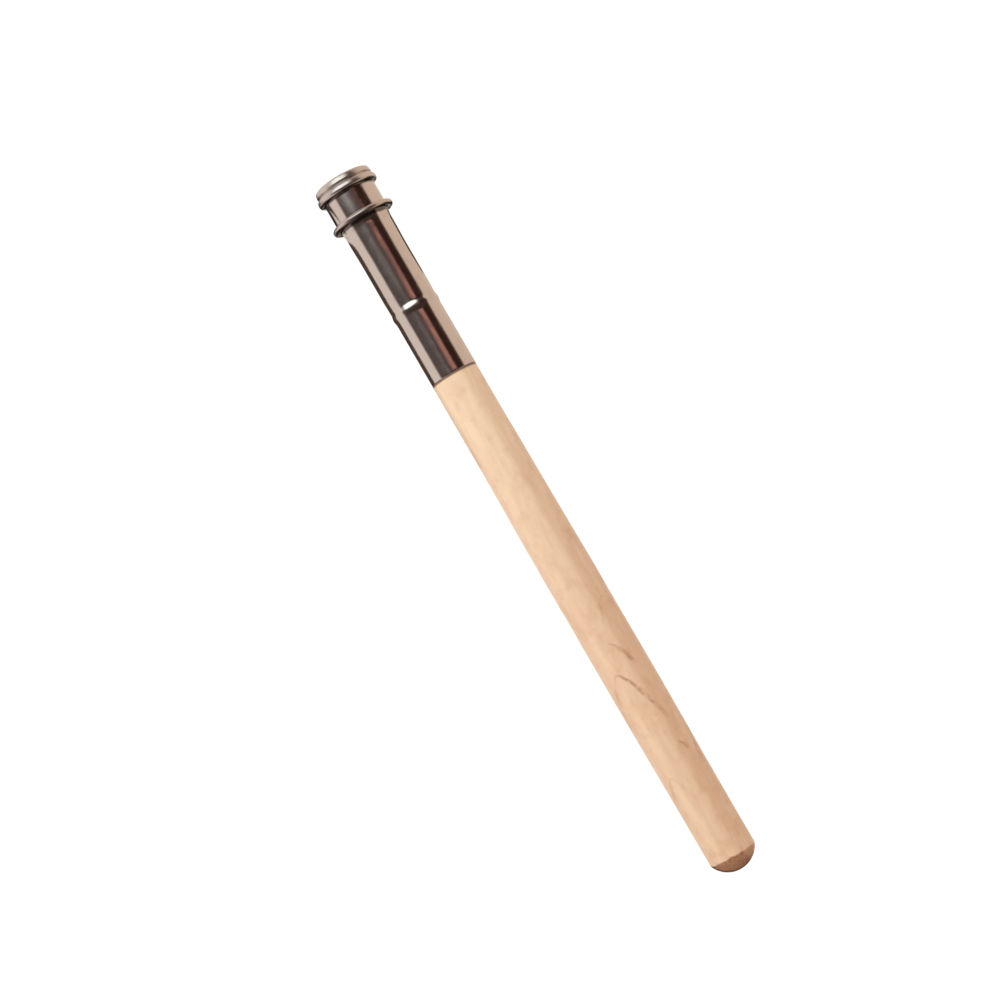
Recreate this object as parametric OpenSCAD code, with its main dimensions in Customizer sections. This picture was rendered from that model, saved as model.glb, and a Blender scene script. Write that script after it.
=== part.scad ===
// Pencil extender: a turned wooden handle in a split metal tube, and a ring that slides
// along the tube's jaws to close them on the end of a short pencil.
// It lies along X with its mouth towards +X. The origin is on the axis, on the end of the
// handle's tenon, where the pencil's end comes to rest. Lengths are in millimetres.

/* [Overall] */
// Length from the mouth of the tube to the rounded end of the handle
total_len = 125; // [90:0.5:180]
// Depth from the mouth to the seat that the pencil's end meets
seat_depth = 20.4; // [18.5:0.1:24]

/* [Handle] */
// Diameter of the handle at its shoulder, just below the tube
shoulder_d = 7.8; // [7.7:0.02:8.4]
// Diameter of the handle at its thickest place
belly_d = 8.2; // [7.8:0.05:12]
// Distance of the thickest place from the rounded end
belly_from_end = 40.5; // [15:0.5:60]
// Diameter of the handle at the crease where the rounded end begins
end_d = 7.84; // [6:0.02:10]
// Height of the rounded end above that crease
dome_h = 2.6; // [0.5:0.05:3.5]
// Clearance for glue all round the tenon
glue_gap = 0.03; // [0.01:0.01:0.08]
// Chamfer at the tip of the tenon
tenon_chamfer = 0.4; // [0.1:0.1:0.8]

/* [Tube] */
// Length of the tube from its mouth to the handle's shoulder
tube_len = 35.9; // [30:0.1:50]
// Thickness of the tube's wall
tube_wall = 0.3; // [0.2:0.05:0.4]
// Outside diameter of the lower sleeve, round the handle's tenon
sleeve_d = 7.85; // [7.4:0.05:7.9]
// Diameter of the straight bore that takes the pencil's end
socket_bore_d = 7.35; // [7:0.05:7.4]
// Length of that straight bore, up from the seat
socket_len = 6; // [4:0.5:8]
// Outside diameter of the jaws where they begin to flare
jaw_d = 8.12; // [8:0.02:8.3]
// Outside diameter of the jaws below the rim
mouth_d = 8.8; // [8.3:0.05:9.2]
// Distance from the mouth to the lower end of the flare
flare_low_from_mouth = 8.9; // [7:0.1:10]
// Distance from the mouth to the upper end of the flare
flare_top_from_mouth = 6.6; // [3:0.1:6.8]

/* [Rim] */
// Outside diameter of the lip that is rolled outwards at the mouth
lip_d = 9.75; // [9.5:0.05:10.4]
// Height of the lip along the axis
lip_h = 1.15; // [0.9:0.05:1.3]
// Outside diameter of the folded bead below the lip
bead_d = 10.4; // [9.8:0.05:12]
// Height of the bead along the axis
bead_h = 1.1; // [0.7:0.02:1.2]
// Distance from the mouth to the middle of the bead
bead_from_mouth = 2; // [1.8:0.05:2.4]
// Outside diameter of the neck between the lip and the bead
neck_d = 9.4; // [9:0.05:9.5]
// Radius of the groove that the fold leaves inside the bead
fold_groove_r = 0.15; // [0.05:0.01:0.2]

/* [Band] */
// Distance from the seat down to the crest of the low band that is rolled out of the tube
band_below_seat = 3.4; // [1.4:0.1:8]
// Width of the band
band_w = 2; // [1:0.1:2.4]
// Height of the band above the sleeve
band_h = 0.14; // [0.06:0.01:0.2]

/* [Slots] */
// Number of slots that part the jaws
slot_count = 2; // [2:1:4]
// Width of each slot
slot_w = 0.7; // [0.3:0.05:1.5]
// Length of each slot, down from the mouth
slot_len = 16.9; // [10:0.1:18]

/* [Sliding ring] */
// Outside diameter of the ring
ring_d = 10.75; // [10.2:0.05:12]
// Diameter of the wire that the ring is made from
ring_wire = 1; // [0.9:0.05:1.2]
// Radial clearance between the ring and the jaws at their widest
ring_clearance = 0.05; // [0.02:0.01:0.1]
// Distance from the mouth to the middle of the ring as it is stored
ring_from_mouth = 7; // [4:0.1:30]

/* [Hidden] */

// Overrun of every cut past the face that it leaves through
cut = 0.5;
// Steps along one stretch of a curved outline
curve_steps = 10;
// Facets of a circle, and of a turned solid
circle_fn = 48;
turned_fn = 96;

// Places along the axis, from the seat at zero
mouth_x = seat_depth;
shoulder_x = mouth_x - tube_len;
end_x = mouth_x - total_len;
crease_x = end_x + dome_h;
belly_x = end_x + belly_from_end;
flare_low_x = mouth_x - flare_low_from_mouth;
flare_top_x = mouth_x - flare_top_from_mouth;
lip_x = mouth_x - lip_h / 2;
bead_x = mouth_x - bead_from_mouth;
band_x = -band_below_seat;
slot_root_x = mouth_x - slot_len;
ring_x = mouth_x - ring_from_mouth;

// Radii of the handle
shoulder_r = shoulder_d / 2;
belly_r = belly_d / 2;
end_r = end_d / 2;
dome_r = (end_r * end_r + dome_h * dome_h) / (2 * dome_h);
dome_centre_x = end_x + dome_r;
dome_half_angle = asin(end_r / dome_r);

// Radii of the tube's outside and bore
sleeve_r = sleeve_d / 2;
sleeve_bore_r = sleeve_r - tube_wall;
socket_bore_r = socket_bore_d / 2;
socket_r = socket_bore_r + tube_wall;
jaw_r = jaw_d / 2;
mouth_r = mouth_d / 2;
mouth_bore_r = mouth_r - tube_wall;
tenon_r = sleeve_bore_r - glue_gap;

// Radii of the rim
lip_arc_r = lip_h / 2;
lip_centre_r = lip_d / 2 - lip_arc_r;
bead_arc_r = bead_h / 2;
bead_centre_r = bead_d / 2 - bead_arc_r;

// Radii of the ring's wire and bore
wire_r = ring_wire / 2;
ring_centre_r = ring_d / 2 - wire_r;
ring_bore_r = mouth_r + ring_clearance;

// A half wave from 0 to 1 as t goes from 0 to 1
function half_wave(t) = (1 - cos(180 * t)) / 2;

// Points [radius, place] of the flare on a wall of the given radii at its lower and upper end
function flare(low_r, top_r) = [
    for (i = [0 : curve_steps])
        let (t = i / curve_steps)
        [low_r + (top_r - low_r) * half_wave(t), flare_low_x + (flare_top_x - flare_low_x) * t]
];

// Points of the band on a wall of the given radius: half a wave out to its crest, then half a wave back
function band(wall_r) = [
    for (i = [0 : 2 * curve_steps])
        let (t = i / curve_steps)
        [wall_r + band_h * half_wave(t), band_x + band_w * (t - 1) / 2]
];

// Points of the handle's side, which swells in a half wave from one end's radius to the belly's
function swell(from_x, from_r) = [
    for (i = [0 : curve_steps - 1])
        let (t = 1 - i / curve_steps)
        [belly_r - (belly_r - from_r) * half_wave(t), belly_x + (from_x - belly_x) * t]
];

// Points of the rounded end, from just past its crease to the axis
function dome() = [
    for (i = [1 : curve_steps])
        let (a = dome_half_angle * (1 - i / curve_steps))
        [dome_r * sin(a), dome_centre_x - dome_r * cos(a)]
];

// The same points in the opposite order
function backwards(points) = [for (i = [len(points) - 1 : -1 : 0]) points[i]];

// Turns a section of [radius, place] round the axis of the part
module turned() {
    rotate([0, 90, 0]) rotate_extrude($fn = turned_fn) children();
}

module handle_section() {
    polygon(concat(
        [[0, 0], [tenon_r - tenon_chamfer, 0], [tenon_r, -tenon_chamfer], [tenon_r, shoulder_x]],
        swell(shoulder_x, shoulder_r),
        [[belly_r, belly_x]],
        backwards(swell(crease_x, end_r)),
        dome()
    ));
}

// The handle: a tenon inside the tube, a shoulder under it, a slim barrel and a rounded end
module handle() {
    color("burlywood") turned() handle_section();
}

// The tube's wall with its band, before its rim is formed
module wall_section() {
    polygon(concat(
        [[sleeve_bore_r, shoulder_x], [sleeve_r, shoulder_x]],
        band(sleeve_r),
        [[socket_r, 0], [socket_r, socket_len]],
        flare(jaw_r, mouth_r),
        [[mouth_r, lip_x], [mouth_bore_r, lip_x]],
        backwards(flare(jaw_r - tube_wall, mouth_bore_r)),
        [[socket_bore_r, socket_len], [socket_bore_r, 0]],
        backwards(band(sleeve_bore_r))
    ));
}

// The bead folded out of the wall and the neck above it
module bead_section() {
    translate([bead_centre_r, bead_x]) circle(r = bead_arc_r, $fn = circle_fn);
    translate([mouth_bore_r, bead_x - bead_arc_r]) square([bead_centre_r - mouth_bore_r, bead_h]);
    translate([mouth_bore_r, bead_x]) square([neck_d / 2 - mouth_bore_r, lip_x - bead_x]);
}

// The lip rolled outwards at the mouth, round outside and cut off at the bore
module lip_section() {
    intersection() {
        translate([lip_centre_r, lip_x]) circle(r = lip_arc_r, $fn = circle_fn);
        translate([mouth_bore_r, lip_x - lip_arc_r]) square(lip_h);
    }
}

// One slot, cut along the side of the jaws that faces +Y, with a round root
module slot() {
    depth = bead_d / 2 + cut;
    translate([slot_root_x, 0, -slot_w / 2]) cube([slot_len + cut, depth, slot_w]);
    translate([slot_root_x, 0, 0]) rotate([-90, 0, 0]) cylinder(r = slot_w / 2, h = depth, $fn = circle_fn);
}

// The tube: a sleeve on the tenon, the pencil's socket, and slotted jaws with a rolled rim
module tube() {
    color("silver") difference() {
        turned() difference() {
            union() {
                wall_section();
                bead_section();
                lip_section();
            }
            translate([mouth_bore_r, bead_x]) circle(r = fold_groove_r, $fn = circle_fn);
        }
        for (i = [0 : slot_count - 1]) rotate([360 * i / slot_count, 0, 0]) slot();
    }
}

// The sliding ring: a ring of round wire whose bore is flattened where it rides on the jaws
module slide_ring() {
    color("gainsboro") translate([ring_x, 0, 0]) turned() difference() {
        translate([ring_centre_r, 0]) circle(r = wire_r, $fn = circle_fn);
        translate([0, -ring_wire]) square([ring_bore_r, 2 * ring_wire]);
    }
}

handle();
tube();
slide_ring();
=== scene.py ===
"""Looks of a pencil extender: a turned wooden handle, a nickel-plated tube with slotted jaws and a
rolled rim, and a ring of round wire that slides along the jaws.

The extender lies along X with its mouth towards +X. The sizes of its pieces are in millimetres, and
each finished mesh is in metres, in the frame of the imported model.
"""
import logging
import math
from collections.abc import Callable, Sequence
from dataclasses import dataclass, field
from enum import Enum

import bmesh
import bpy
from mathutils import Matrix, Vector


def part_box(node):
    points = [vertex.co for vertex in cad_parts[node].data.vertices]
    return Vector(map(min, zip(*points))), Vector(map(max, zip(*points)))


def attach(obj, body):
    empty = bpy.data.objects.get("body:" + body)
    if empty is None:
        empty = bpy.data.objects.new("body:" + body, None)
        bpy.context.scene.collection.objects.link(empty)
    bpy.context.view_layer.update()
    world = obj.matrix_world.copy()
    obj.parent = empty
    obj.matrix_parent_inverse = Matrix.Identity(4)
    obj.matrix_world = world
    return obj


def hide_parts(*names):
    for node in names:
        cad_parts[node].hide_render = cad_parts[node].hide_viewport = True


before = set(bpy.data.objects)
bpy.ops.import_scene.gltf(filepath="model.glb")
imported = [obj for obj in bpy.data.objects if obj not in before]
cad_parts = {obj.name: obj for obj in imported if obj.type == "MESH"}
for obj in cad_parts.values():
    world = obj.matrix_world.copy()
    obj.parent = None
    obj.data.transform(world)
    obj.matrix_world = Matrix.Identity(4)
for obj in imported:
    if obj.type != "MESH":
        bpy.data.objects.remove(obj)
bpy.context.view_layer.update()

log = logging.getLogger("pencil_extender")

MM = 0.001
# Corners closer than this, in metres, are welded into one
WELD = 1e-6
QUARTER_TURN = math.pi / 2
FULL_TURN = 2 * math.pi

# Directions in a section beside the axis, in degrees
TOWARDS_MOUTH = 0
OUTWARDS = 90
TOWARDS_HANDLE = 180
INWARDS = -90

Piece = bpy.types.Object
Socket = bpy.types.NodeSocket
Sockets = bpy.types.bpy_prop_collection
Value = float | Socket
Pair = tuple[float, float]
Colour = tuple[float, float, float]
# Where a soft change begins and ends, then the values there
Ramp = tuple[float, float, float, float]
# How many waves a noise has in a metre, and its detail
Grain = tuple[float, float]


class Part(Enum):
    """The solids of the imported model, by node."""

    HANDLE = "handle"
    TUBE = "tube"
    SLIDE_RING = "slide_ring"


class Body(Enum):
    """The moving bodies that pieces ride on."""

    HANDLE = "handle"
    SLIDE_RING = "slide_ring"


class Slot(Enum):
    """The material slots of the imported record."""

    WOOD = "wood"
    NICKEL_TUBE = "nickel_tube"
    NICKEL_RING = "nickel_ring"


def straight(share: float) -> float:
    """Even rise from 0 to 1."""
    return share


def half_wave(share: float) -> float:
    """Smooth rise from 0 to 1 along half a cosine wave."""
    return (1 - math.cos(math.pi * share)) / 2


def between(first: float, second: float, share: float) -> float:
    """Value at a share of the way from one value to another."""
    return first + (second - first) * share


def middle_of(part: Part) -> float:
    """Place along X, in millimetres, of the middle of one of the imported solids."""
    low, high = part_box(part.value)
    return (low.x + high.x) / 2 / MM


def deselect_all() -> None:
    """Leaves nothing selected, so that the next operator acts on its own primitive alone."""
    bpy.ops.object.select_all(action="DESELECT")


def pick(piece: Piece) -> None:
    """Selects one object alone, for the next operator to act on.

    Args:
        piece: The object.
    """
    deselect_all()
    piece.select_set(True)
    bpy.context.view_layer.objects.active = piece


def edit_mode(choice: str) -> None:
    """Opens the active mesh for editing, with its corners, edges or faces to be selected."""
    bpy.ops.object.mode_set(mode="EDIT")
    bpy.ops.mesh.select_mode(type=choice)


def object_mode() -> None:
    """Closes the mesh that is being edited."""
    bpy.ops.object.mode_set(mode="OBJECT")


def select_edges(piece: Piece, chosen: Callable[[Vector, Vector], bool]) -> None:
    """Selects edges of the mesh that is being edited by the places of their ends.

    Args:
        piece: The object whose mesh it is.
        chosen: Says of the places of an edge's two ends, in the piece's own metres, whether it is wanted.
    """
    bpy.ops.mesh.select_mode(type="EDGE")
    bpy.ops.mesh.select_all(action="DESELECT")
    mesh = bmesh.from_edit_mesh(piece.data)
    for edge in mesh.edges:
        if chosen(*(corner.co for corner in edge.verts)):
            edge.select_set(True)
    bmesh.update_edit_mesh(piece.data)


def weld_all() -> None:
    """Welds corners that meet in the mesh that is being edited, and turns its faces outwards."""
    bpy.ops.mesh.select_all(action="SELECT")
    bpy.ops.mesh.remove_doubles(threshold=WELD)
    bpy.ops.mesh.normals_make_consistent(inside=False)


def spin_selected(segments: int) -> None:
    """Spins what is selected in the mesh once round X into a solid with its faces outwards."""
    bpy.ops.mesh.spin(steps=segments, angle=FULL_TURN, center=(0, 0, 0), axis=(1, 0, 0))
    weld_all()


def settle(piece: Piece, name: str) -> Piece:
    """Moves an object's place into its mesh and names both.

    Args:
        piece: The object to finish.
        name: Its name.

    Returns:
        The same object, at the origin, unturned and unscaled.
    """
    pick(piece)
    bpy.ops.object.transform_apply(location=True, rotation=True, scale=True)
    piece.name = name
    piece.data.name = name
    return piece


def apply_modifier(piece: Piece, kind: str, name: str, **settings: object) -> None:
    """Adds a modifier to a piece and applies it.

    Args:
        piece: The object to change.
        kind: The modifier's type.
        name: What the modifier is for.
        settings: Values of the modifier's properties.
    """
    pick(piece)
    modifier = piece.modifiers.new(name, kind)
    for key, value in settings.items():
        setattr(modifier, key, value)
    bpy.ops.object.modifier_apply(modifier=modifier.name)


def smooth_by_angle(piece: Piece, limit_deg: float) -> None:
    """Shades a piece smooth, with an edge kept where its faces meet at more than an angle."""
    pick(piece)
    bpy.ops.object.shade_smooth_by_angle(angle=math.radians(limit_deg))


@dataclass
class Outline:
    """A section beside the axis, drawn from point to point as (place along X, radius) in millimetres."""

    points: list[Pair] = field(default_factory=list)

    def start(self, place: float, radius: float) -> "Outline":
        """Begins the section at a point."""
        self.points = [(place, radius)]
        return self

    def stretch(self, place: float, radius: float, steps: int, rise: Callable[[float], float]) -> "Outline":
        """Draws a stretch to a point.

        Args:
            place: The end's place along X.
            radius: The end's radius.
            steps: Number of steps along it.
            rise: Gives how much of the change in radius is done at a share of the way.

        Returns:
            The outline itself.
        """
        from_place, from_radius = self.points[-1]
        for step in range(1, steps + 1):
            share = step / steps
            self.points.append((between(from_place, place, share), between(from_radius, radius, rise(share))))
        return self

    def line(self, place: float, radius: float, steps: int = 1) -> "Outline":
        """Draws a straight stretch to a point."""
        return self.stretch(place, radius, steps, straight)

    def wave(self, place: float, radius: float, steps: int) -> "Outline":
        """Draws half a wave to a point, level at both ends."""
        return self.stretch(place, radius, steps, half_wave)

    def arc(self, centre: Pair, radius: float, from_deg: float, to_deg: float, steps: int) -> "Outline":
        """Draws an arc of a circle.

        Args:
            centre: The circle's centre, as (place, radius).
            radius: The circle's radius.
            from_deg: The direction from the centre in which the arc starts.
            to_deg: The direction in which it ends.
            steps: Number of steps along it.

        Returns:
            The outline itself.
        """
        for step in range(steps + 1):
            turn = math.radians(between(from_deg, to_deg, step / steps))
            self.points.append((centre[0] + radius * math.cos(turn), centre[1] + radius * math.sin(turn)))
        return self

    def close(self) -> "Outline":
        """Draws the last stretch, back to where the section began."""
        return self.line(*self.points[0])

    def spin(self, name: str, segments: int) -> Piece:
        """Draws the section as a chain of edges and spins it round the axis into a solid.

        Args:
            name: The new piece's name.
            segments: Number of segments round the axis.

        Returns:
            The turned piece, with its faces outwards.
        """
        places = [Vector((place * MM, 0, radius * MM)) for place, radius in self.points]
        deselect_all()
        bpy.ops.mesh.primitive_plane_add(size=MM, location=places[0])
        piece = bpy.context.object
        edit_mode("VERT")
        bpy.ops.mesh.merge(type="CENTER")
        for here, there in zip(places, places[1:]):
            if (there - here).length > WELD:
                bpy.ops.mesh.extrude_region_move(TRANSFORM_OT_translate={"value": there - here})
        bpy.ops.mesh.select_all(action="SELECT")
        bpy.ops.mesh.remove_doubles(threshold=WELD)
        spin_selected(segments)
        object_mode()
        return settle(piece, name)


class Sheet:
    """A node tree that is written line by line."""

    def __init__(self, tree: bpy.types.NodeTree) -> None:
        """Starts on a tree with nothing in it."""
        self.tree = tree
        tree.nodes.clear()

    def give(self, socket: Socket, value: object) -> None:
        """Gives a node's input what it takes.

        Args:
            socket: The input.
            value: Another node's output, which is linked to it, or a plain value.
        """
        if isinstance(value, Socket):
            self.tree.links.new(value, socket)
        elif socket.type == "RGBA":
            socket.default_value = (*value, 1)
        else:
            socket.default_value = value

    def add(self, kind: str, inputs: dict | None = None, **settings: object) -> bpy.types.Node:
        """Adds a node.

        Args:
            kind: The node's type, without its ShaderNode prefix.
            inputs: Values or sockets for its inputs, by name or number.
            settings: Values of the node's own properties.

        Returns:
            The node.
        """
        node = self.tree.nodes.new("ShaderNode" + kind)
        for key, value in settings.items():
            setattr(node, key, value)
        for key, value in (inputs or {}).items():
            self.give(node.inputs[key], value)
        return node

    def math(self, operation: str, *values: Value, clamp: bool = False) -> Socket:
        """Adds a Math node and gives its result."""
        return self.add("Math", dict(enumerate(values)), operation=operation, use_clamp=clamp).outputs[0]

    def plus(self, first: Value, second: Value) -> Socket:
        """Adds two values."""
        return self.math("ADD", first, second)

    def less(self, first: Value, second: Value) -> Socket:
        """Takes the second value from the first."""
        return self.math("SUBTRACT", first, second)

    def times(self, first: Value, second: Value) -> Socket:
        """Multiplies two values."""
        return self.math("MULTIPLY", first, second)

    def sway(self, value: Value, reach: Value) -> Socket:
        """Turns a value from 0 to 1 into one that sways about 0, by half of a reach to either side."""
        return self.times(self.less(value, 0.5), reach)

    def spread(self, value: Socket, ramp: Ramp) -> Socket:
        """Maps a value softly to another range, held at both ends.

        Args:
            value: The value.
            ramp: Where the change begins and ends, then the new values there.

        Returns:
            The new value.
        """
        names = ("From Min", "From Max", "To Min", "To Max")
        inputs = {"Value": value, **dict(zip(names, ramp))}
        return self.add("MapRange", inputs, interpolation_type="SMOOTHSTEP").outputs["Result"]

    def blend(self, share: Value, first: object, second: object) -> Socket:
        """Mixes two colours, or their sockets, with a share of the second."""
        # A Mix node has its own sockets for each type of data, and these numbers are those for colours
        inputs = {0: share, 6: first, 7: second}
        return self.add("Mix", inputs, data_type="RGBA").outputs[2]

    def noise(self, vector: Socket, scale: Value, detail: Value, roughness: float = 0.5) -> Socket:
        """Adds a noise and gives its value."""
        inputs = {"Vector": vector, "Scale": scale, "Detail": detail, "Roughness": roughness}
        return self.add("TexNoise", inputs).outputs[0]

    def finish(self, shader: bpy.types.Node, output: str = "OutputMaterial") -> None:
        """Makes a shader what the tree puts out."""
        self.add(output, {"Surface": shader.outputs[0]})


def new_material(name: str) -> tuple[bpy.types.Material, Sheet]:
    """Makes a material with an empty tree.

    Args:
        name: The material's name.

    Returns:
        The material and its tree.
    """
    material = bpy.data.materials.new(name)
    material.use_nodes = True
    return material, Sheet(material.node_tree)


class EffectGroup:
    """A node group with named inputs and outputs, placed in every material that uses the effect."""

    def __init__(self, name: str, inputs: dict[str, float | None], outputs: Sequence[str]) -> None:
        """Makes the group's tree and its sockets.

        Args:
            name: The effect's name.
            inputs: Default values by input name, with None for a vector.
            outputs: Names of the values it puts out.
        """
        self.tree = bpy.data.node_groups.new(name, "ShaderNodeTree")
        self.sheet = Sheet(self.tree)
        for key, value in inputs.items():
            kind = "NodeSocketVector" if value is None else "NodeSocketFloat"
            socket = self.tree.interface.new_socket(key, in_out="INPUT", socket_type=kind)
            if value is not None:
                socket.default_value = value
        for key in outputs:
            self.tree.interface.new_socket(key, in_out="OUTPUT", socket_type="NodeSocketFloat")
        self.given = self.tree.nodes.new("NodeGroupInput").outputs
        self.result = self.tree.nodes.new("NodeGroupOutput").inputs

    def put_out(self, **values: Socket) -> "EffectGroup":
        """Links values to the group's outputs, by name.

        Args:
            values: The values.

        Returns:
            The group itself.
        """
        for key, value in values.items():
            self.tree.links.new(value, self.result[key])
        return self

    def place(self, sheet: Sheet, **inputs: Value) -> Sockets:
        """Places the group in a material.

        Args:
            sheet: The material's tree.
            inputs: Values or sockets for the group's inputs, by name with _ for a space.

        Returns:
            The group's outputs there.
        """
        named = {key.replace("_", " "): value for key, value in inputs.items()}
        return sheet.add("Group", named, node_tree=self.tree).outputs


def turned_place_group() -> EffectGroup:
    """Group that gives a point's place along X in millimetres and its turn from the top in degrees.

    Returns:
        The group.
    """
    group = EffectGroup("turned_place", {"Vector": None}, ("Place", "Turn"))
    sheet = group.sheet
    split = sheet.add("SeparateXYZ", {0: group.given["Vector"]}).outputs
    turn = sheet.math("DEGREES", sheet.math("ARCTAN2", split["Y"], split["Z"]))
    return group.put_out(Place=sheet.math("DIVIDE", split["X"], MM), Turn=turn)


def streaks_group() -> EffectGroup:
    """Group that gives streaks drawn out along X, such as wood fibres or the marks of a polishing belt.

    Returns:
        The group.
    """
    unevenness = 0.6
    pores = (0.62, 0.75, 0.0, 1.0)
    inputs = {"Vector": None, "Width": 0.1, "Stretch": 12.0, "Detail": 3.0}
    group = EffectGroup("drawn_streaks", inputs, ("Streaks", "Pores"))
    given, sheet = group.given, group.sheet
    along = sheet.math("DIVIDE", 1.0, given["Stretch"])
    scaled = sheet.add("CombineXYZ", {"X": along, "Y": 1.0, "Z": 1.0}).outputs[0]
    drawn = sheet.add("VectorMath", {0: given["Vector"], 1: scaled}, operation="MULTIPLY").outputs[0]
    scale = sheet.math("DIVIDE", 1 / MM, given["Width"])
    streaks = sheet.noise(drawn, scale, given["Detail"], unevenness)
    return group.put_out(Streaks=streaks, Pores=sheet.spread(streaks, pores))


def growth_line_group() -> EffectGroup:
    """Group that draws one pointed growth line, as a turned stick shows where it grazes a year ring.

    The line bows over the surface. Its tip lies at Tip Place and Tip Turn, its legs run towards -X for
    Reach millimetres, and Near Leg and Far Leg say how strong the leg is on either side.

    Returns:
        The group.
    """
    mm_per_degree = 0.0716
    sway_reach = 0.9
    bow_power = 1.6
    slope_share = 2.0
    core = (0.25, 1.0, 1.0, 0.0)
    far_side = (-0.15, 0.15, 0.0, 1.0)
    fading = (0.6, 1.0, 1.0, 0.0)
    inputs = {"Place": 0.0, "Turn": 0.0, "Wobble": 0.5, "Tip Place": 0.0, "Tip Turn": 0.0, "Spread": 1.0}
    inputs |= {"Width": 0.3, "Reach": 10.0, "Near Leg": 1.0, "Far Leg": 0.3}
    group = EffectGroup("growth_line", inputs, ("Line",))
    given, sheet = group.given, group.sheet
    turned = sheet.math("WRAP", sheet.less(given["Turn"], given["Tip Turn"]), 180.0, -180.0)
    aside = sheet.plus(sheet.times(turned, mm_per_degree), sheet.sway(given["Wobble"], sway_reach))
    below = sheet.less(given["Tip Place"], given["Place"])
    bow = sheet.math("DIVIDE", sheet.math("POWER", sheet.math("ABSOLUTE", aside), bow_power), given["Spread"])
    steepness = sheet.math("DIVIDE", sheet.times(aside, slope_share), given["Spread"])
    slope = sheet.math("SQRT", sheet.plus(sheet.times(steepness, steepness), 1.0))
    gap = sheet.math("DIVIDE", sheet.math("ABSOLUTE", sheet.less(below, bow)), slope)
    stroke = sheet.spread(sheet.math("DIVIDE", gap, given["Width"]), core)
    side = sheet.spread(aside, far_side)
    near = sheet.times(sheet.less(1.0, side), given["Near Leg"])
    leg = sheet.plus(sheet.times(side, given["Far Leg"]), near)
    run_out = sheet.spread(sheet.math("DIVIDE", below, given["Reach"]), fading)
    return group.put_out(Line=sheet.times(sheet.times(stroke, leg), run_out))


def patches_group() -> EffectGroup:
    """Group that gives soft patches, such as handling marks in wood or the bloom of old plating.

    Returns:
        The group.
    """
    bare_level = 0.75
    cover_gain = 0.4
    softness = 0.25
    cloud_detail = 4.0
    group = EffectGroup("soft_patches", {"Vector": None, "Size": 3.0, "Cover": 0.5}, ("Patches",))
    given, sheet = group.given, group.sheet
    cloud = sheet.noise(given["Vector"], sheet.math("DIVIDE", 1 / MM, given["Size"]), cloud_detail)
    low = sheet.less(bare_level, sheet.times(given["Cover"], cover_gain))
    return group.put_out(Patches=sheet.math("DIVIDE", sheet.less(cloud, low), softness, clamp=True))


@dataclass
class Effects:
    """The node groups that the finishes share."""

    turned_place: EffectGroup = field(default_factory=turned_place_group)
    streaks: EffectGroup = field(default_factory=streaks_group)
    growth_line: EffectGroup = field(default_factory=growth_line_group)
    patches: EffectGroup = field(default_factory=patches_group)


@dataclass(frozen=True)
class Streaks:
    """Streaks along X: their width in millimetres, how far they are drawn out, and their detail."""

    width: float
    stretch: float
    detail: float

    def place(self, effects: Effects, sheet: Sheet, vector: Socket) -> Sockets:
        """Draws them in a material and gives the group's outputs."""
        shape = {"Width": self.width, "Stretch": self.stretch, "Detail": self.detail}
        return effects.streaks.place(sheet, Vector=vector, **shape)


@dataclass(frozen=True)
class Patches:
    """Soft patches: their size in millimetres and how much they cover."""

    size: float
    cover: float

    def place(self, effects: Effects, sheet: Sheet, vector: Socket) -> Socket:
        """Draws them in a material and gives how strongly they show."""
        return effects.patches.place(sheet, Vector=vector, Size=self.size, Cover=self.cover)["Patches"]


@dataclass(frozen=True)
class GrowthLine:
    """One pointed growth line in the wood: where its tip is, how its legs run and how dark they are."""

    tip_place: float
    tip_turn: float
    spread: float
    width: float
    reach: float
    near_leg: float
    far_leg: float

    def draw(self, effects: Effects, sheet: Sheet, turned: Sockets, wobble: Value) -> Socket:
        """Draws the line in a material.

        Args:
            effects: The shared node groups.
            sheet: The material's tree.
            turned: Outputs of the group that gives the surface's places and turns.
            wobble: A value about 0.5 that makes the line unsteady.

        Returns:
            How strongly the line shows.
        """
        return effects.growth_line.place(
            sheet, Place=turned["Place"], Turn=turned["Turn"], Wobble=wobble, Tip_Place=self.tip_place,
            Tip_Turn=self.tip_turn, Spread=self.spread, Width=self.width, Reach=self.reach,
            Near_Leg=self.near_leg, Far_Leg=self.far_leg,
        )["Line"]


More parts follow.
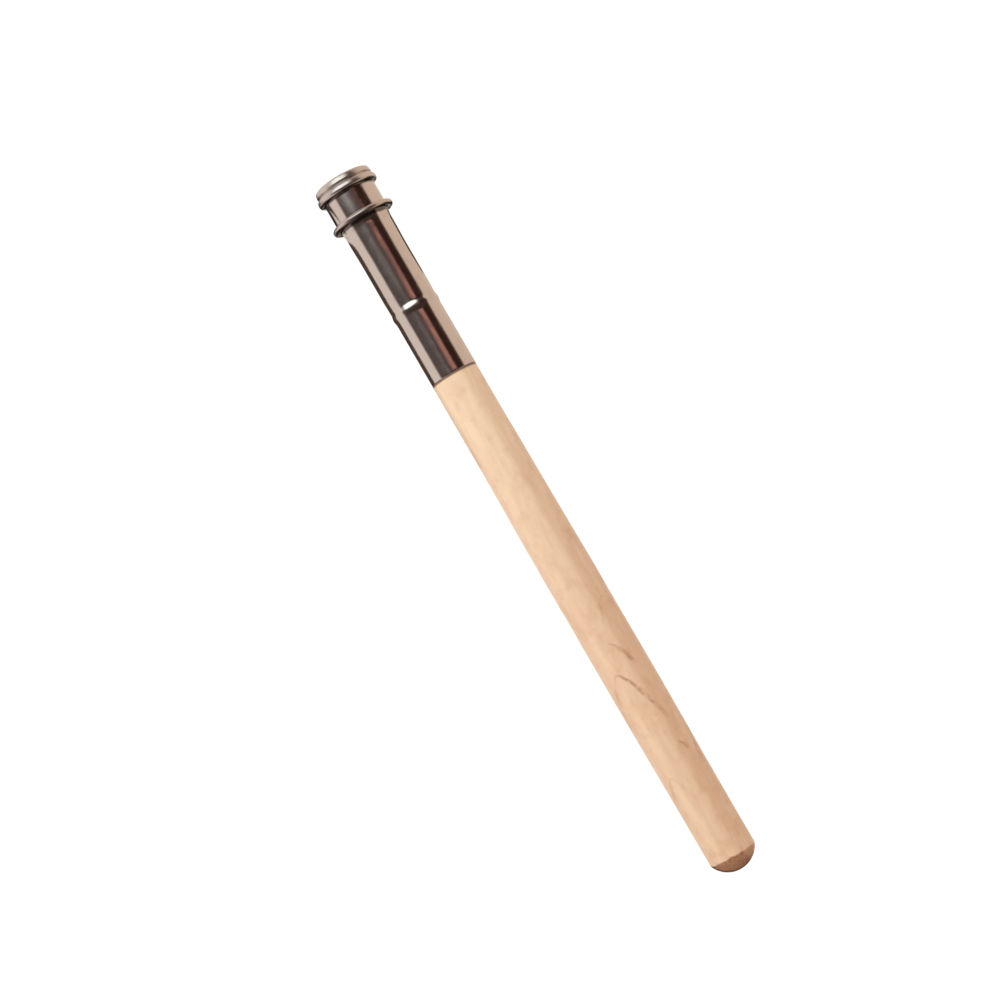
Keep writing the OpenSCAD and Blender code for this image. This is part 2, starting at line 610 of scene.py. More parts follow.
@dataclass(frozen=True)
class WoodFinish:
    """Pale, close-grained wood, turned smooth and sealed with a thin satin varnish.

    Ramps named side or height run over Y or Z in metres, the others over millimetres or noise.
    """

    pale: Colour = (0.865, 0.66, 0.455)
    ripe: Colour = (0.67, 0.41, 0.25)
    line: Colour = (0.42, 0.16, 0.08)
    end_grain: Colour = (0.34, 0.145, 0.066)
    end_pale: Colour = (0.6, 0.34, 0.2)
    # Painted shade on the underside of the rounded end, nearly black
    end_underside_shade: Colour = (0.07, 0.025, 0.014)
    # A dark line on the wood just below the tube's lower edge: painted shade at the joint, partly glue
    glue_and_shade: Colour = (0.11, 0.055, 0.028)
    fibres: Streaks = Streaks(0.16, 14.0, 4.0)
    fibre_tone: float = 0.3
    bands: Streaks = Streaks(1.3, 4.0, 3.0)
    band_tone: Ramp = (0.35, 0.65, 0.0, 0.2)
    patches: Patches = Patches(2.2, 0.6)
    patch_tone: float = 0.34
    barrel_tone: Ramp = (0.0, 50.0, 0.0, 0.4)
    # Painted shade: the -Y side, away from the left lamp, is darker, its edge wandering and drifting along
    # the handle
    shaded_side: Ramp = (-1.9 * MM, -0.9 * MM, 0.3, 0.0)
    shaded_side_wander: float = 4.0 * MM
    shaded_side_drift: float = 0.01 * MM
    wobble: Grain = (700.0, 3.0)
    gaps: Grain = (900.0, 2.0)
    gap_strength: Ramp = (0.3, 0.6, 0.35, 1.0)
    line_strength: float = 0.68
    end_grit: Grain = (1900.0, 3.0)
    end_ragged: float = 0.65
    end_edge: Ramp = (-0.08, 0.12, 0.0, 1.0)
    speckle: Grain = (2600.0, 3.0)
    speckle_strength: Ramp = (0.3, 0.7, 0.0, 0.28)
    end_pale_side: Ramp = (-4.0 * MM, -2.2 * MM, 0.8, 0.0)
    end_shade_height: Ramp = (1.1 * MM, 2.1 * MM, 0.9, 0.0)
    end_shade_side: Ramp = (-3.6 * MM, -2.6 * MM, 0.0, 1.0)
    end_shade_ragged: float = 1.5 * MM
    glue_and_shade_line: Ramp = (0.2, 0.52, 0.9, 0.0)
    varnish_roughness: float = 0.34
    patch_roughness: float = 0.1
    end_roughness: float = 0.25
    line_depth: float = 0.6
    pore_depth: float = 0.5
    bump_strength: float = 0.35
    bump_distance: float = 0.02 * MM
    coat_weight: float = 0.12
    coat_roughness: float = 0.3
    lines: tuple[GrowthLine, ...] = (
        GrowthLine(-69.2, 26.2, 0.99, 0.3, 10.5, 1.0, 0.35),
        GrowthLine(-64.4, 6.0, 0.95, 0.34, 5.2, 0.85, 0.0),
        GrowthLine(-82.6, -21.0, 0.5, 0.36, 2.0, 0.75, 0.0),
        GrowthLine(-57.3, -38.0, 0.8, 0.26, 4.6, 0.32, 0.34),
        GrowthLine(-87.0, 38.0, 0.6, 0.3, 3.4, 0.25, 0.3),
        GrowthLine(-40.0, 158.0, 1.3, 0.3, 14.0, 0.9, 0.6),
        GrowthLine(-47.0, 171.0, 1.1, 0.28, 16.0, 0.6, 0.8),
        GrowthLine(-76.0, -118.0, 1.0, 0.26, 12.0, 0.5, 0.9),
    )

    def end_colour(self, sheet: Sheet, vector: Socket, across: Value, ragged: Value) -> Socket:
        """Colours the rounded end: bare end grain, paler on one side, and painted shade on its underside.

        Args:
            sheet: The material's tree.
            vector: Object coordinates.
            across: Distance across the handle in metres, with the wander of the painted shade's edge in it.
            ragged: A value about 0 that breaks up the edge of the painted shade.

        Returns:
            The colour.
        """
        speckle = sheet.spread(sheet.noise(vector, *self.speckle), self.speckle_strength)
        colour = sheet.blend(speckle, self.end_grain, self.ripe)
        colour = sheet.blend(sheet.spread(across, self.end_pale_side), colour, self.end_pale)
        # Painted shade: the end goes dark towards its underside, except at the far -Y side
        height = sheet.add("SeparateXYZ", {0: vector}).outputs["Z"]
        height = sheet.less(height, sheet.times(ragged, self.end_shade_ragged))
        end_shaded = sheet.times(sheet.spread(height, self.end_shade_height), sheet.spread(across, self.end_shade_side))
        return sheet.blend(end_shaded, colour, self.end_underside_shade)

    def make(self, effects: Effects, shoulder: float, crease: float) -> bpy.types.Material:
        """Builds the material.

        Args:
            effects: The shared node groups.
            shoulder: Place of the handle's shoulder, in millimetres.
            crease: Place of the crease where the rounded end begins.

        Returns:
            The material.
        """
        material, sheet = new_material(Slot.WOOD.value + "_finish")
        vector = sheet.add("TexCoord").outputs["Object"]
        turned = effects.turned_place.place(sheet, Vector=vector)
        fibres = self.fibres.place(effects, sheet, vector)
        bands = self.bands.place(effects, sheet, vector)["Streaks"]
        patches = self.patches.place(effects, sheet, vector)

        below = sheet.less(shoulder, turned["Place"])
        across = sheet.add("SeparateXYZ", {0: vector}).outputs["Y"]
        across = sheet.plus(across, sheet.sway(bands, self.shaded_side_wander))
        across = sheet.less(across, sheet.times(below, self.shaded_side_drift))
        tone = sheet.plus(sheet.spread(bands, self.band_tone), sheet.times(patches, self.patch_tone))
        tone = sheet.plus(tone, sheet.spread(below, self.barrel_tone))
        # Painted shade on the -Y side of the barrel, away from the left lamp
        tone = sheet.plus(tone, sheet.spread(across, self.shaded_side))
        tone = sheet.math("ADD", tone, sheet.sway(fibres["Streaks"], self.fibre_tone), clamp=True)
        colour = sheet.blend(tone, self.pale, self.ripe)

        wobble = sheet.noise(vector, *self.wobble)
        darkness = 0.0
        for line in self.lines:
            darkness = sheet.math("MAXIMUM", darkness, line.draw(effects, sheet, turned, wobble))
        broken = sheet.spread(sheet.noise(vector, *self.gaps), self.gap_strength)
        figure = sheet.times(sheet.times(darkness, broken), self.line_strength)
        colour = sheet.blend(figure, colour, self.line)

        ragged = sheet.sway(sheet.noise(vector, *self.end_grit), self.end_ragged)
        past_crease = sheet.less(crease, sheet.plus(turned["Place"], ragged))
        end = sheet.spread(past_crease, self.end_edge)
        colour = sheet.blend(end, colour, self.end_colour(sheet, vector, across, ragged))
        # Painted shade at the joint under the tube's edge, partly glue
        colour = sheet.blend(sheet.spread(below, self.glue_and_shade_line), colour, self.glue_and_shade)

        roughness = sheet.plus(self.varnish_roughness, sheet.times(patches, self.patch_roughness))
        roughness = sheet.plus(roughness, sheet.times(end, self.end_roughness))
        height = sheet.less(fibres["Streaks"], sheet.times(figure, self.line_depth))
        height = sheet.less(height, sheet.times(fibres["Pores"], self.pore_depth))
        bump = sheet.add(
            "Bump", {"Strength": self.bump_strength, "Distance": self.bump_distance, "Height": height}
        ).outputs[0]
        inputs = {"Base Color": colour, "Roughness": roughness, "Normal": bump}
        inputs |= {"Coat Weight": self.coat_weight, "Coat Roughness": self.coat_roughness}
        sheet.finish(sheet.add("BsdfPrincipled", inputs))
        return material


@dataclass(frozen=True)
class NickelFinish:
    """Bright nickel plate with fine polishing marks, slight bloom and the waviness of thin sheet.

    Depths, heights and edges are in millimetres, and the edges are measured from the place they soften.
    """

    slot: Slot
    bright: Colour
    bloom: Colour
    roughness: float
    marks: Streaks
    wave_height: float
    rim_wear: float = 0.0
    # Painted shade, with some dirt, darkens the nooks under the bead and under the ring, and the ring's
    # underside
    dirt_and_shade: Colour = (0.09, 0.068, 0.052)
    mark_roughness: float = 0.12
    mark_strength: float = 0.08
    mark_depth: float = 0.004
    patches: Patches = Patches(1.8, 0.55)
    patch_bloom: float = 0.55
    patch_roughness: float = 0.08
    specks: Grain = (3200.0, 1.0)
    speck_bloom: Ramp = (0.68, 0.78, 0.0, 0.25)
    rim_edge: Pair = (-0.2, 0.2)
    # Grain, ragged edge, edges and strength of that painted shade and dirt
    dirt_and_shade_grain: Grain = (1400.0, 2.0)
    dirt_and_shade_ragged: float = 0.3
    dirt_and_shade_low_edge: Pair = (-0.2, 0.1)
    dirt_and_shade_high_edge: Pair = (-0.08, 0.08)
    dirt_and_shade_strength: float = 0.9
    waves: Grain = (330.0, 1.0)

    def shaded_and_dirtied(self, sheet: Sheet, colour: Value, place: Value, ragged: Value, nook: Pair) -> Socket:
        """Darkens the plate in one nook with painted shade and some dirt.

        Args:
            sheet: The material's tree.
            colour: The plate's colour so far.
            place: Place along X in millimetres.
            ragged: The same place, made uneven for the darkening's lower edge.
            nook: Low and high place of the painted shade and dirt.

        Returns:
            The plate's colour with the painted shade and dirt on it.
        """
        begins = [nook[0] + edge for edge in self.dirt_and_shade_low_edge]
        ends = [nook[1] + edge for edge in self.dirt_and_shade_high_edge]
        # Painted shade, with some dirt, between the nook's low and high places
        darkening = sheet.spread(ragged, (*begins, 0.0, self.dirt_and_shade_strength))
        darkening = sheet.times(darkening, sheet.spread(place, (*ends, 1.0, 0.0)))
        return sheet.blend(darkening, colour, self.dirt_and_shade)

    def make(
        self, effects: Effects, rim_place: float = 0.0, nooks: Sequence[Pair] = ()
    ) -> bpy.types.Material:
        """Builds the material.

        Args:
            effects: The shared node groups.
            rim_place: Place along X, in millimetres, past which handling has dulled the plate.
            nooks: Low and high places, in millimetres, between which painted shade, with some dirt, darkens
                the plate.

        Returns:
            The material.
        """
        material, sheet = new_material(self.slot.value + "_finish")
        vector = sheet.add("TexCoord").outputs["Object"]
        place = effects.turned_place.place(sheet, Vector=vector)["Place"]
        marks = self.marks.place(effects, sheet, vector)
        patches = self.patches.place(effects, sheet, vector)
        specks = sheet.spread(sheet.noise(vector, *self.specks), self.speck_bloom)
        bloom = sheet.math("ADD", sheet.times(patches, self.patch_bloom), specks, clamp=True)
        colour = sheet.blend(bloom, self.bright, self.bloom)
        ragged = sheet.plus(place, sheet.sway(sheet.noise(vector, *self.dirt_and_shade_grain), self.dirt_and_shade_ragged))
        # Painted shade, with some dirt, in each nook
        for nook in nooks:
            colour = self.shaded_and_dirtied(sheet, colour, place, ragged, nook)

        roughness = sheet.plus(self.roughness, sheet.times(patches, self.patch_roughness))
        roughness = sheet.plus(roughness, sheet.times(marks["Pores"], self.mark_roughness))
        worn = sheet.spread(sheet.less(place, rim_place), (*self.rim_edge, 0.0, self.rim_wear))
        roughness = sheet.plus(roughness, worn)
        waves = sheet.noise(vector, *self.waves)
        swell = sheet.add("Bump", {"Distance": self.wave_height * MM, "Height": waves}).outputs[0]
        scratches = {"Strength": self.mark_strength, "Distance": self.mark_depth * MM}
        scratches |= {"Height": marks["Streaks"], "Normal": swell}
        scratched = sheet.add("Bump", scratches).outputs[0]
        inputs = {"Base Color": colour, "Metallic": 1.0, "Roughness": roughness, "Normal": scratched}
        sheet.finish(sheet.add("BsdfPrincipled", inputs))
        return material


def dress(piece: Piece, material: bpy.types.Material, body: Body, part: Part) -> None:
    """Gives a piece its material and its place in the frame, and reports it.

    Args:
        piece: The finished piece.
        material: Its material.
        body: The body that it rides on.
        part: The solid that it stands for.
    """
    piece.data.materials.clear()
    piece.data.materials.append(material)
    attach(piece, body.value)
    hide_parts(part.value)
    log.info("%s: %d faces, rides on %s", piece.name, len(piece.data.polygons), body.value)


@dataclass
class Tube:
    """The tube: a sleeve on the tenon, the pencil's socket, and slotted jaws with a rolled rim.

    Bends and rounds are radii, and turns are directions in the section. A ring of corners lies beside
    each foot and edge, as far from it as hold says, so that its shading stays out of the straight wall.
    """

    finish: NickelFinish
    wall: float = 0.3
    sleeve_radius: float = 3.925
    socket_radius: float = 3.975
    socket_length: float = 6.0
    jaw_radius: float = 4.06
    mouth_radius: float = 4.4
    flare_low: float = 11.5
    flare_top: float = 13.8
    band_below_seat: float = 3.4
    band_width: float = 2.0
    band_height: float = 0.14
    bead_height: float = 1.1
    bead_below_mouth: float = 2.0
    bead_bends: Pair = (0.45, 0.3)
    bead_turns: Pair = (TOWARDS_HANDLE, -10)
    neck_radius: float = 4.7
    neck_bend: float = 0.15
    neck_lap_deg: float = 10.0
    lip_radius: float = 4.875
    lip_height: float = 1.15
    lip_bends: Pair = (0.26, 0.42)
    lip_turns: Pair = (145, -36)
    lean_deg: float = 10.0
    foot_bend: float = 0.3
    slit_bend: float = 0.12
    edge_round: float = 0.08
    hold: float = 0.25
    slot_width: float = 0.7
    slot_length: float = 16.9
    slot_round_share: float = 0.98
    overrun: float = 1.0
    # Painted shade, with some dirt, on the wall just under the bead's foot, and painted shade on the wall
    # just under the ring
    foot_dirt_and_shade: Pair = (-0.3, 0.12)
    shade_under_ring: Pair = (-0.95, -0.3)
    smooth_deg: float = 40.0
    segments: int = 192

    def __post_init__(self) -> None:
        """Reads the tube's ends and its bead from the frame, and works out where the bead and band lie."""
        low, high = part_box(Part.TUBE.value)
        self.shoulder = low.x / MM
        self.mouth = high.x / MM
        self.bead_radius = high.z / MM
        self.bead_place = self.mouth - self.bead_below_mouth
        self.bead_low = self.bead_place - self.bead_height / 2
        self.bead_top = self.bead_place + self.bead_height / 2
        self.band_place = -self.band_below_seat
        self.band_low = self.band_place - self.band_width / 2
        self.band_top = self.band_place + self.band_width / 2

    def outside(self, outline: Outline) -> None:
        """Draws the outside, from the lower edge up to the bead's foot.

        Args:
            outline: The section that is being drawn.
        """
        edge = self.edge_round
        corner = (self.shoulder + edge, self.sleeve_radius - edge)
        outline.start(self.shoulder, self.sleeve_radius - edge)
        outline.arc(corner, edge, TOWARDS_HANDLE, OUTWARDS, steps=4)
        outline.line(self.shoulder + self.hold, self.sleeve_radius)
        outline.line(self.band_low, self.sleeve_radius, steps=10)
        outline.wave(self.band_place, self.sleeve_radius + self.band_height, steps=10)
        outline.wave(self.band_top, self.sleeve_radius, steps=10)
        outline.wave(0, self.socket_radius, steps=6)
        outline.line(self.socket_length, self.socket_radius, steps=6)
        outline.wave(self.flare_low, self.jaw_radius, steps=8)
        outline.wave(self.flare_top, self.mouth_radius, steps=14)

    def leaning_face(self, outline: Outline, low: Pair, high: float, bends: Pair, turns: Pair) -> None:
        """Draws a rolled face that leans towards the mouth between two round edges.

        Args:
            outline: The section that is being drawn.
            low: Place of the face's lower end, and the radius of its widest ring.
            high: Place of its upper end.
            bends: Radii of the lower and the upper edge.
            turns: Directions in which the lower edge begins and the upper edge ends.
        """
        lean = OUTWARDS - self.lean_deg
        tilt = math.radians(lean)
        low_centre = (low[0] + bends[0], low[1] - bends[0])
        high_place = high - bends[1]
        drop = (bends[0] - bends[1] + (low_centre[0] - high_place) * math.cos(tilt)) / math.sin(tilt)
        outline.arc(low_centre, bends[0], turns[0], lean, steps=16)
        outline.arc((high_place, low_centre[1] + drop), bends[1], lean, turns[1], steps=16)

    def rim(self, outline: Outline) -> None:
        """Draws the folded bead, the neck and the lip that is rolled outwards.

        Args:
            outline: The section that is being drawn.
        """
        bend = self.foot_bend
        outline.line(self.bead_low - bend - self.hold, self.mouth_radius, steps=4)
        outline.line(self.bead_low - bend, self.mouth_radius)
        foot = (self.bead_low - bend, self.mouth_radius + bend)
        outline.arc(foot, bend, INWARDS, TOWARDS_MOUTH, steps=8)
        bead = (self.bead_low, self.bead_radius)
        self.leaning_face(outline, bead, self.bead_top, self.bead_bends, self.bead_turns)
        lip_low = self.mouth - self.lip_height
        neck = ((self.bead_top + lip_low) / 2, self.neck_radius + self.neck_bend)
        lap = self.neck_lap_deg
        outline.arc(neck, self.neck_bend, lap - TOWARDS_HANDLE, TOWARDS_MOUTH - lap, steps=10)
        self.leaning_face(outline, (lip_low, self.lip_radius), self.mouth, self.lip_bends, self.lip_turns)

    def inside(self, outline: Outline) -> None:
        """Draws the slit that the fold leaves inside the bead, then the bore down to the lower edge.

        Args:
            outline: The section that is being drawn.
        """
        mouth_bore = self.mouth_radius - self.wall
        sleeve_bore = self.sleeve_radius - self.wall
        slit = self.bead_height / 2 - self.wall
        bend = self.slit_bend
        outline.line(self.bead_place + slit + bend, mouth_bore, steps=4)
        high_bend = (self.bead_place + slit + bend, mouth_bore + bend)
        outline.arc(high_bend, bend, INWARDS, -TOWARDS_HANDLE, steps=5)
        slit_end = (self.bead_place, self.bead_radius - self.bead_height / 2)
        outline.arc(slit_end, slit, TOWARDS_MOUTH, TOWARDS_HANDLE, steps=8)
        low_bend = (self.bead_place - slit - bend, mouth_bore + bend)
        outline.arc(low_bend, bend, TOWARDS_MOUTH, INWARDS, steps=5)
        outline.line(self.flare_top, mouth_bore)
        outline.wave(self.flare_low, self.jaw_radius - self.wall, steps=14)
        outline.wave(self.socket_length, self.socket_radius - self.wall, steps=8)
        outline.line(0, self.socket_radius - self.wall, steps=4)
        outline.wave(self.band_top, sleeve_bore, steps=6)
        outline.wave(self.band_place, sleeve_bore + self.band_height, steps=8)
        outline.wave(self.band_low, sleeve_bore, steps=8)
        outline.line(self.shoulder, sleeve_bore, steps=4)

    def slot_cutter(self) -> Piece:
        """Makes the block that saws both slots in one pass, with a round root.

        Returns:
            The block.
        """
        root = self.mouth - self.slot_length - self.slot_width / 2
        length = self.mouth - root + self.overrun
        width = 2 * (self.bead_radius + self.overrun)
        deselect_all()
        bpy.ops.mesh.primitive_cube_add(size=1, location=((root + length / 2) * MM, 0, 0))
        cutter = bpy.context.object
        cutter.scale = (length * MM, width * MM, self.slot_width * MM)
        settle(cutter, "slot_cutter")
        edit_mode("EDGE")
        near_root = (root + self.slot_width) * MM
        select_edges(cutter, lambda a, b: max(a.x, b.x) < near_root and abs(a.y - b.y) > MM)
        bevel = self.slot_width / 2 * self.slot_round_share
        bpy.ops.mesh.bevel(offset=bevel * MM, segments=10, affect="EDGES")
        object_mode()
        return cutter

    def build(self, effects: Effects) -> None:
        """Turns the section, saws the slots and dresses the tube.

        Args:
            effects: The shared node groups.
        """
        outline = Outline()
        self.outside(outline)
        self.rim(outline)
        self.inside(outline)
        piece = outline.close().spin("socket_tube", self.segments)
        cutter = self.slot_cutter()
        apply_modifier(piece, "BOOLEAN", "slots", operation="DIFFERENCE", solver="EXACT", object=cutter)
        bpy.data.objects.remove(cutter)
        smooth_by_angle(piece, self.smooth_deg)
        # The wall under the bead gets painted shade with some dirt, the wall under the ring painted shade
        under_bead = tuple(self.bead_low + reach for reach in self.foot_dirt_and_shade)
        under_ring = tuple(middle_of(Part.SLIDE_RING) + reach for reach in self.shade_under_ring)
        material = self.finish.make(effects, self.bead_low, (under_bead, under_ring))
        dress(piece, material, Body.HANDLE, Part.TUBE)


@dataclass
class SlideRing:
    """The sliding ring: one ring of round wire, with finer facets inside, lying a little askew.

    The jaws are rigid, and the round wire reaches 0.03 mm into them where they are widest.
    """

    finish: NickelFinish
    askew_deg: float = 1.0
    nod_deg: float = 0.8
    inside_depth: float = 0.09
    facet_round: float = 0.06
    # How far past the wire's middle the painted shade on the ring's handle side reaches
    underside_shade_height: float = 0.2
    smooth_deg: float = 40.0
    wire_segments: int = 48
    segments: int = 192

    def __post_init__(self) -> None:
        """Reads the ring's place, its size and its wire from the frame."""
        low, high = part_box(Part.SLIDE_RING.value)
        self.place = middle_of(Part.SLIDE_RING)
        self.wire_radius = (high.x - low.x) / 2 / MM
        self.middle_radius = high.z / MM - self.wire_radius

    def bend_wire(self) -> Piece:
        """Spins the wire's round section about the axis.

        Returns:
            The ring, with its mesh left open for editing.
        """
        deselect_all()
        bpy.ops.mesh.primitive_circle_add(
            vertices=self.wire_segments,
            radius=self.wire_radius * MM,
            location=(self.place * MM, 0, self.middle_radius * MM),
            rotation=(QUARTER_TURN, 0, 0),
        )
        piece = settle(bpy.context.object, "clamp_ring")
        edit_mode("VERT")
        bpy.ops.mesh.select_all(action="SELECT")
        spin_selected(self.segments)
        return piece

    def build(self, effects: Effects) -> None:
        """Bends the wire, rounds the facets of its inside, sets the ring askew and dresses it.

        Args:
            effects: The shared node groups.
        """
        piece = self.bend_wire()
        limit = (self.middle_radius - self.wire_radius + self.inside_depth) * MM
        select_edges(
            piece,
            lambda a, b: max(math.hypot(a.y, a.z), math.hypot(b.y, b.z)) < limit and abs(a.x - b.x) < WELD,
        )
        bpy.ops.mesh.bevel(offset=self.facet_round * MM, segments=3, affect="EDGES")
        bpy.ops.mesh.select_all(action="SELECT")
        for axis, turn_deg in (("Z", -self.askew_deg), ("Y", self.nod_deg)):
            bpy.ops.transform.rotate(
                value=math.radians(turn_deg), orient_axis=axis, center_override=(self.place * MM, 0, 0)
            )
        object_mode()
        settle(piece, "clamp_ring")
        smooth_by_angle(piece, self.smooth_deg)
        # Painted shade on the ring's handle side, its underside as it lies
        underside = (self.place - 2 * self.wire_radius, self.place - self.wire_radius + self.underside_shade_height)
        material = self.finish.make(effects, nooks=(underside,))
        dress(piece, material, Body.SLIDE_RING, Part.SLIDE_RING)


@dataclass(frozen=True)
class Unevenness:
    """A cloud pattern that pushes a surface in and out, with its size and depth in millimetres.

    Where the pattern has the value of its level, the surface stays where it is.
    """

    name: str
    size: float
    detail: int
    depth: float
    level: float

    def weigh(self, piece: Piece, share_at: Callable[[float], float]) -> None:
        """Marks how strongly the pattern acts on each corner.

        Args:
            piece: The piece that it acts on.
            share_at: Gives the strength at a place along X in millimetres.
        """
        group = piece.vertex_groups.new(name=self.name)
        for corner in piece.data.vertices:
            share = min(1.0, max(0.0, share_at(corner.co.x / MM)))
            group.add([corner.index], half_wave(share), "REPLACE")

    def push(self, piece: Piece) -> None:
        """Pushes the surface in and out where it was marked.

        Args:
            piece: The piece that it acts on.
        """
        clouds = bpy.data.textures.new(self.name, "CLOUDS")
        clouds.noise_scale = self.size * MM
        clouds.noise_depth = self.detail
        settings = {"texture": clouds, "vertex_group": self.name, "mid_level": self.level}
        apply_modifier(piece, "DISPLACE", self.name, strength=self.depth * MM, **settings)


@dataclass
class Handle:
    """The handle: a tenon inside the tube, a slim barrel that swells a little, and a rounded end."""

    finish: WoodFinish
    shoulder_radius: float = 3.9
    belly_from_end: float = 40.5
    crease_from_end: float = 2.6
    crease_radius: float = 3.92
    tenon_radius: float = 3.595
    tenon_chamfer: float = 0.4
    wall_step: float = 0.04
    close_length: float = 2.0
    close_rings: int = 13
    dome_rings: int = 17
    sanding: Unevenness = Unevenness("sanding", 14.0, 1, 0.1, 0.5)
    sanding_ease: float = 6.0
    chips: Unevenness = Unevenness("chips", 0.5, 2, 0.28, 0.62)
    chip_reach: float = 0.55
    smooth_deg: float = 32.0
    segments: int = 192

    def __post_init__(self) -> None:
        """Reads the handle's end, its thickest radius and the tube's lower edge from the frame."""
        low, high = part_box(Part.HANDLE.value)
        self.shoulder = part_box(Part.TUBE.value)[0].x / MM
        self.end = low.x / MM
        self.belly_radius = high.z / MM
        self.crease = self.end + self.crease_from_end
        self.belly = self.end + self.belly_from_end

    def radius_at(self, place: float) -> float:
        """Radius of the barrel between its thickest place and the crease."""
        share = (place - self.belly) / (self.crease - self.belly)
        return between(self.belly_radius, self.crease_radius, half_wave(share))

    def stations(self) -> list[Pair]:
        """Works out the rings of the mesh, from the tenon's tip to the rounded end.

        Returns:
            The rings' places and radii. They lie close together beside the crease, for its chips.
        """
        dome = (self.crease_radius**2 + self.crease_from_end**2) / (2 * self.crease_from_end)
        half_angle = math.asin(self.crease_radius / dome)
        close = self.crease + self.close_length
        outline = Outline().start(0, self.tenon_radius - self.tenon_chamfer)
        outline.line(-self.tenon_chamfer, self.tenon_radius)
        outline.line(self.shoulder + self.wall_step, self.tenon_radius, steps=6)
        outline.line(self.shoulder, self.shoulder_radius - self.wall_step)
        outline.line(self.shoulder - self.wall_step, self.shoulder_radius)
        outline.wave(self.belly, self.belly_radius, steps=50)
        outline.wave(close, self.radius_at(close), steps=36)
        for step in range(1, self.close_rings + 1):
            place = between(close, self.crease, step / self.close_rings)
            outline.line(place, self.radius_at(place))
        for step in range(1, self.dome_rings):
            turn = half_angle * (1 - step / self.dome_rings)
            outline.line(self.end + dome - dome * math.cos(turn), dome * math.sin(turn))
        return outline.points

    def model(self) -> Piece:
        """Draws the stick out of a disc, ring by ring, and closes its rounded end.

        Returns:
            The smooth stick.
        """
        (place, radius), *rest = self.stations()
        deselect_all()
        bpy.ops.mesh.primitive_circle_add(
            vertices=self.segments,
            radius=radius * MM,
            fill_type="NGON",
            location=(place * MM, 0, 0),
            rotation=(0, QUARTER_TURN, 0),
        )
        piece = settle(bpy.context.object, "wooden_handle")
        edit_mode("FACE")
        bpy.ops.mesh.select_all(action="SELECT")
        for next_place, next_radius in rest:
            move = ((next_place - place) * MM, 0, 0)
            bpy.ops.mesh.extrude_region_move(TRANSFORM_OT_translate={"value": move})
            grow = next_radius / radius
            bpy.ops.transform.resize(value=(1, grow, grow), center_override=(next_place * MM, 0, 0))
            place, radius = next_place, next_radius
        bpy.ops.mesh.inset(thickness=radius * MM / 2, depth=0)
        bpy.ops.mesh.merge(type="CENTER")
        weld_all()
        object_mode()
        return piece

    def build(self, effects: Effects) -> None:
        """Models the handle, weathers it by hand sanding and chips at the crease, and dresses it.

        Args:
            effects: The shared node groups.
        """
        piece = self.model()
        self.sanding.weigh(piece, lambda place: (self.shoulder - place) / self.sanding_ease)
        self.chips.weigh(piece, lambda place: 1 - abs(place - self.crease) / self.chip_reach)
        self.sanding.push(piece)
        self.chips.push(piece)
        smooth_by_angle(piece, self.smooth_deg)
        material = self.finish.make(effects, self.shoulder, self.crease)
        dress(piece, material, Body.HANDLE, Part.HANDLE)


@dataclass(frozen=True)
class CameraPlace:
    """Where the camera stands: places in millimetres, and the turn of its picture."""

    place: tuple[float, float, float] = (-65.84, 3.6, 390.0)
    aim: tuple[float, float, float] = (-36.47, 3.6, 0.0)
    roll_deg: float = 30.055
    lens: float = 89.53
    clip_start: float = 0.01


@dataclass(frozen=True)
class SoftLamp:
    """A flat soft lamp that metal doesn't see: its place and size in metres, and the light it gives."""

    name: str
    place: tuple[float, float, float]
    size: Pair
    radiance: float
    colour: Colour


# Heights of the studio cards over the floor, in millimetres
ON_THE_FLOOR = 0.25
OVERHEAD = 400.0


@dataclass(frozen=True)
class Card:
    """A glowing studio card that only metal sees, with its height and its corners in millimetres."""

    name: str
    colour: Colour
    height: float
    corners: tuple[Pair, ...]


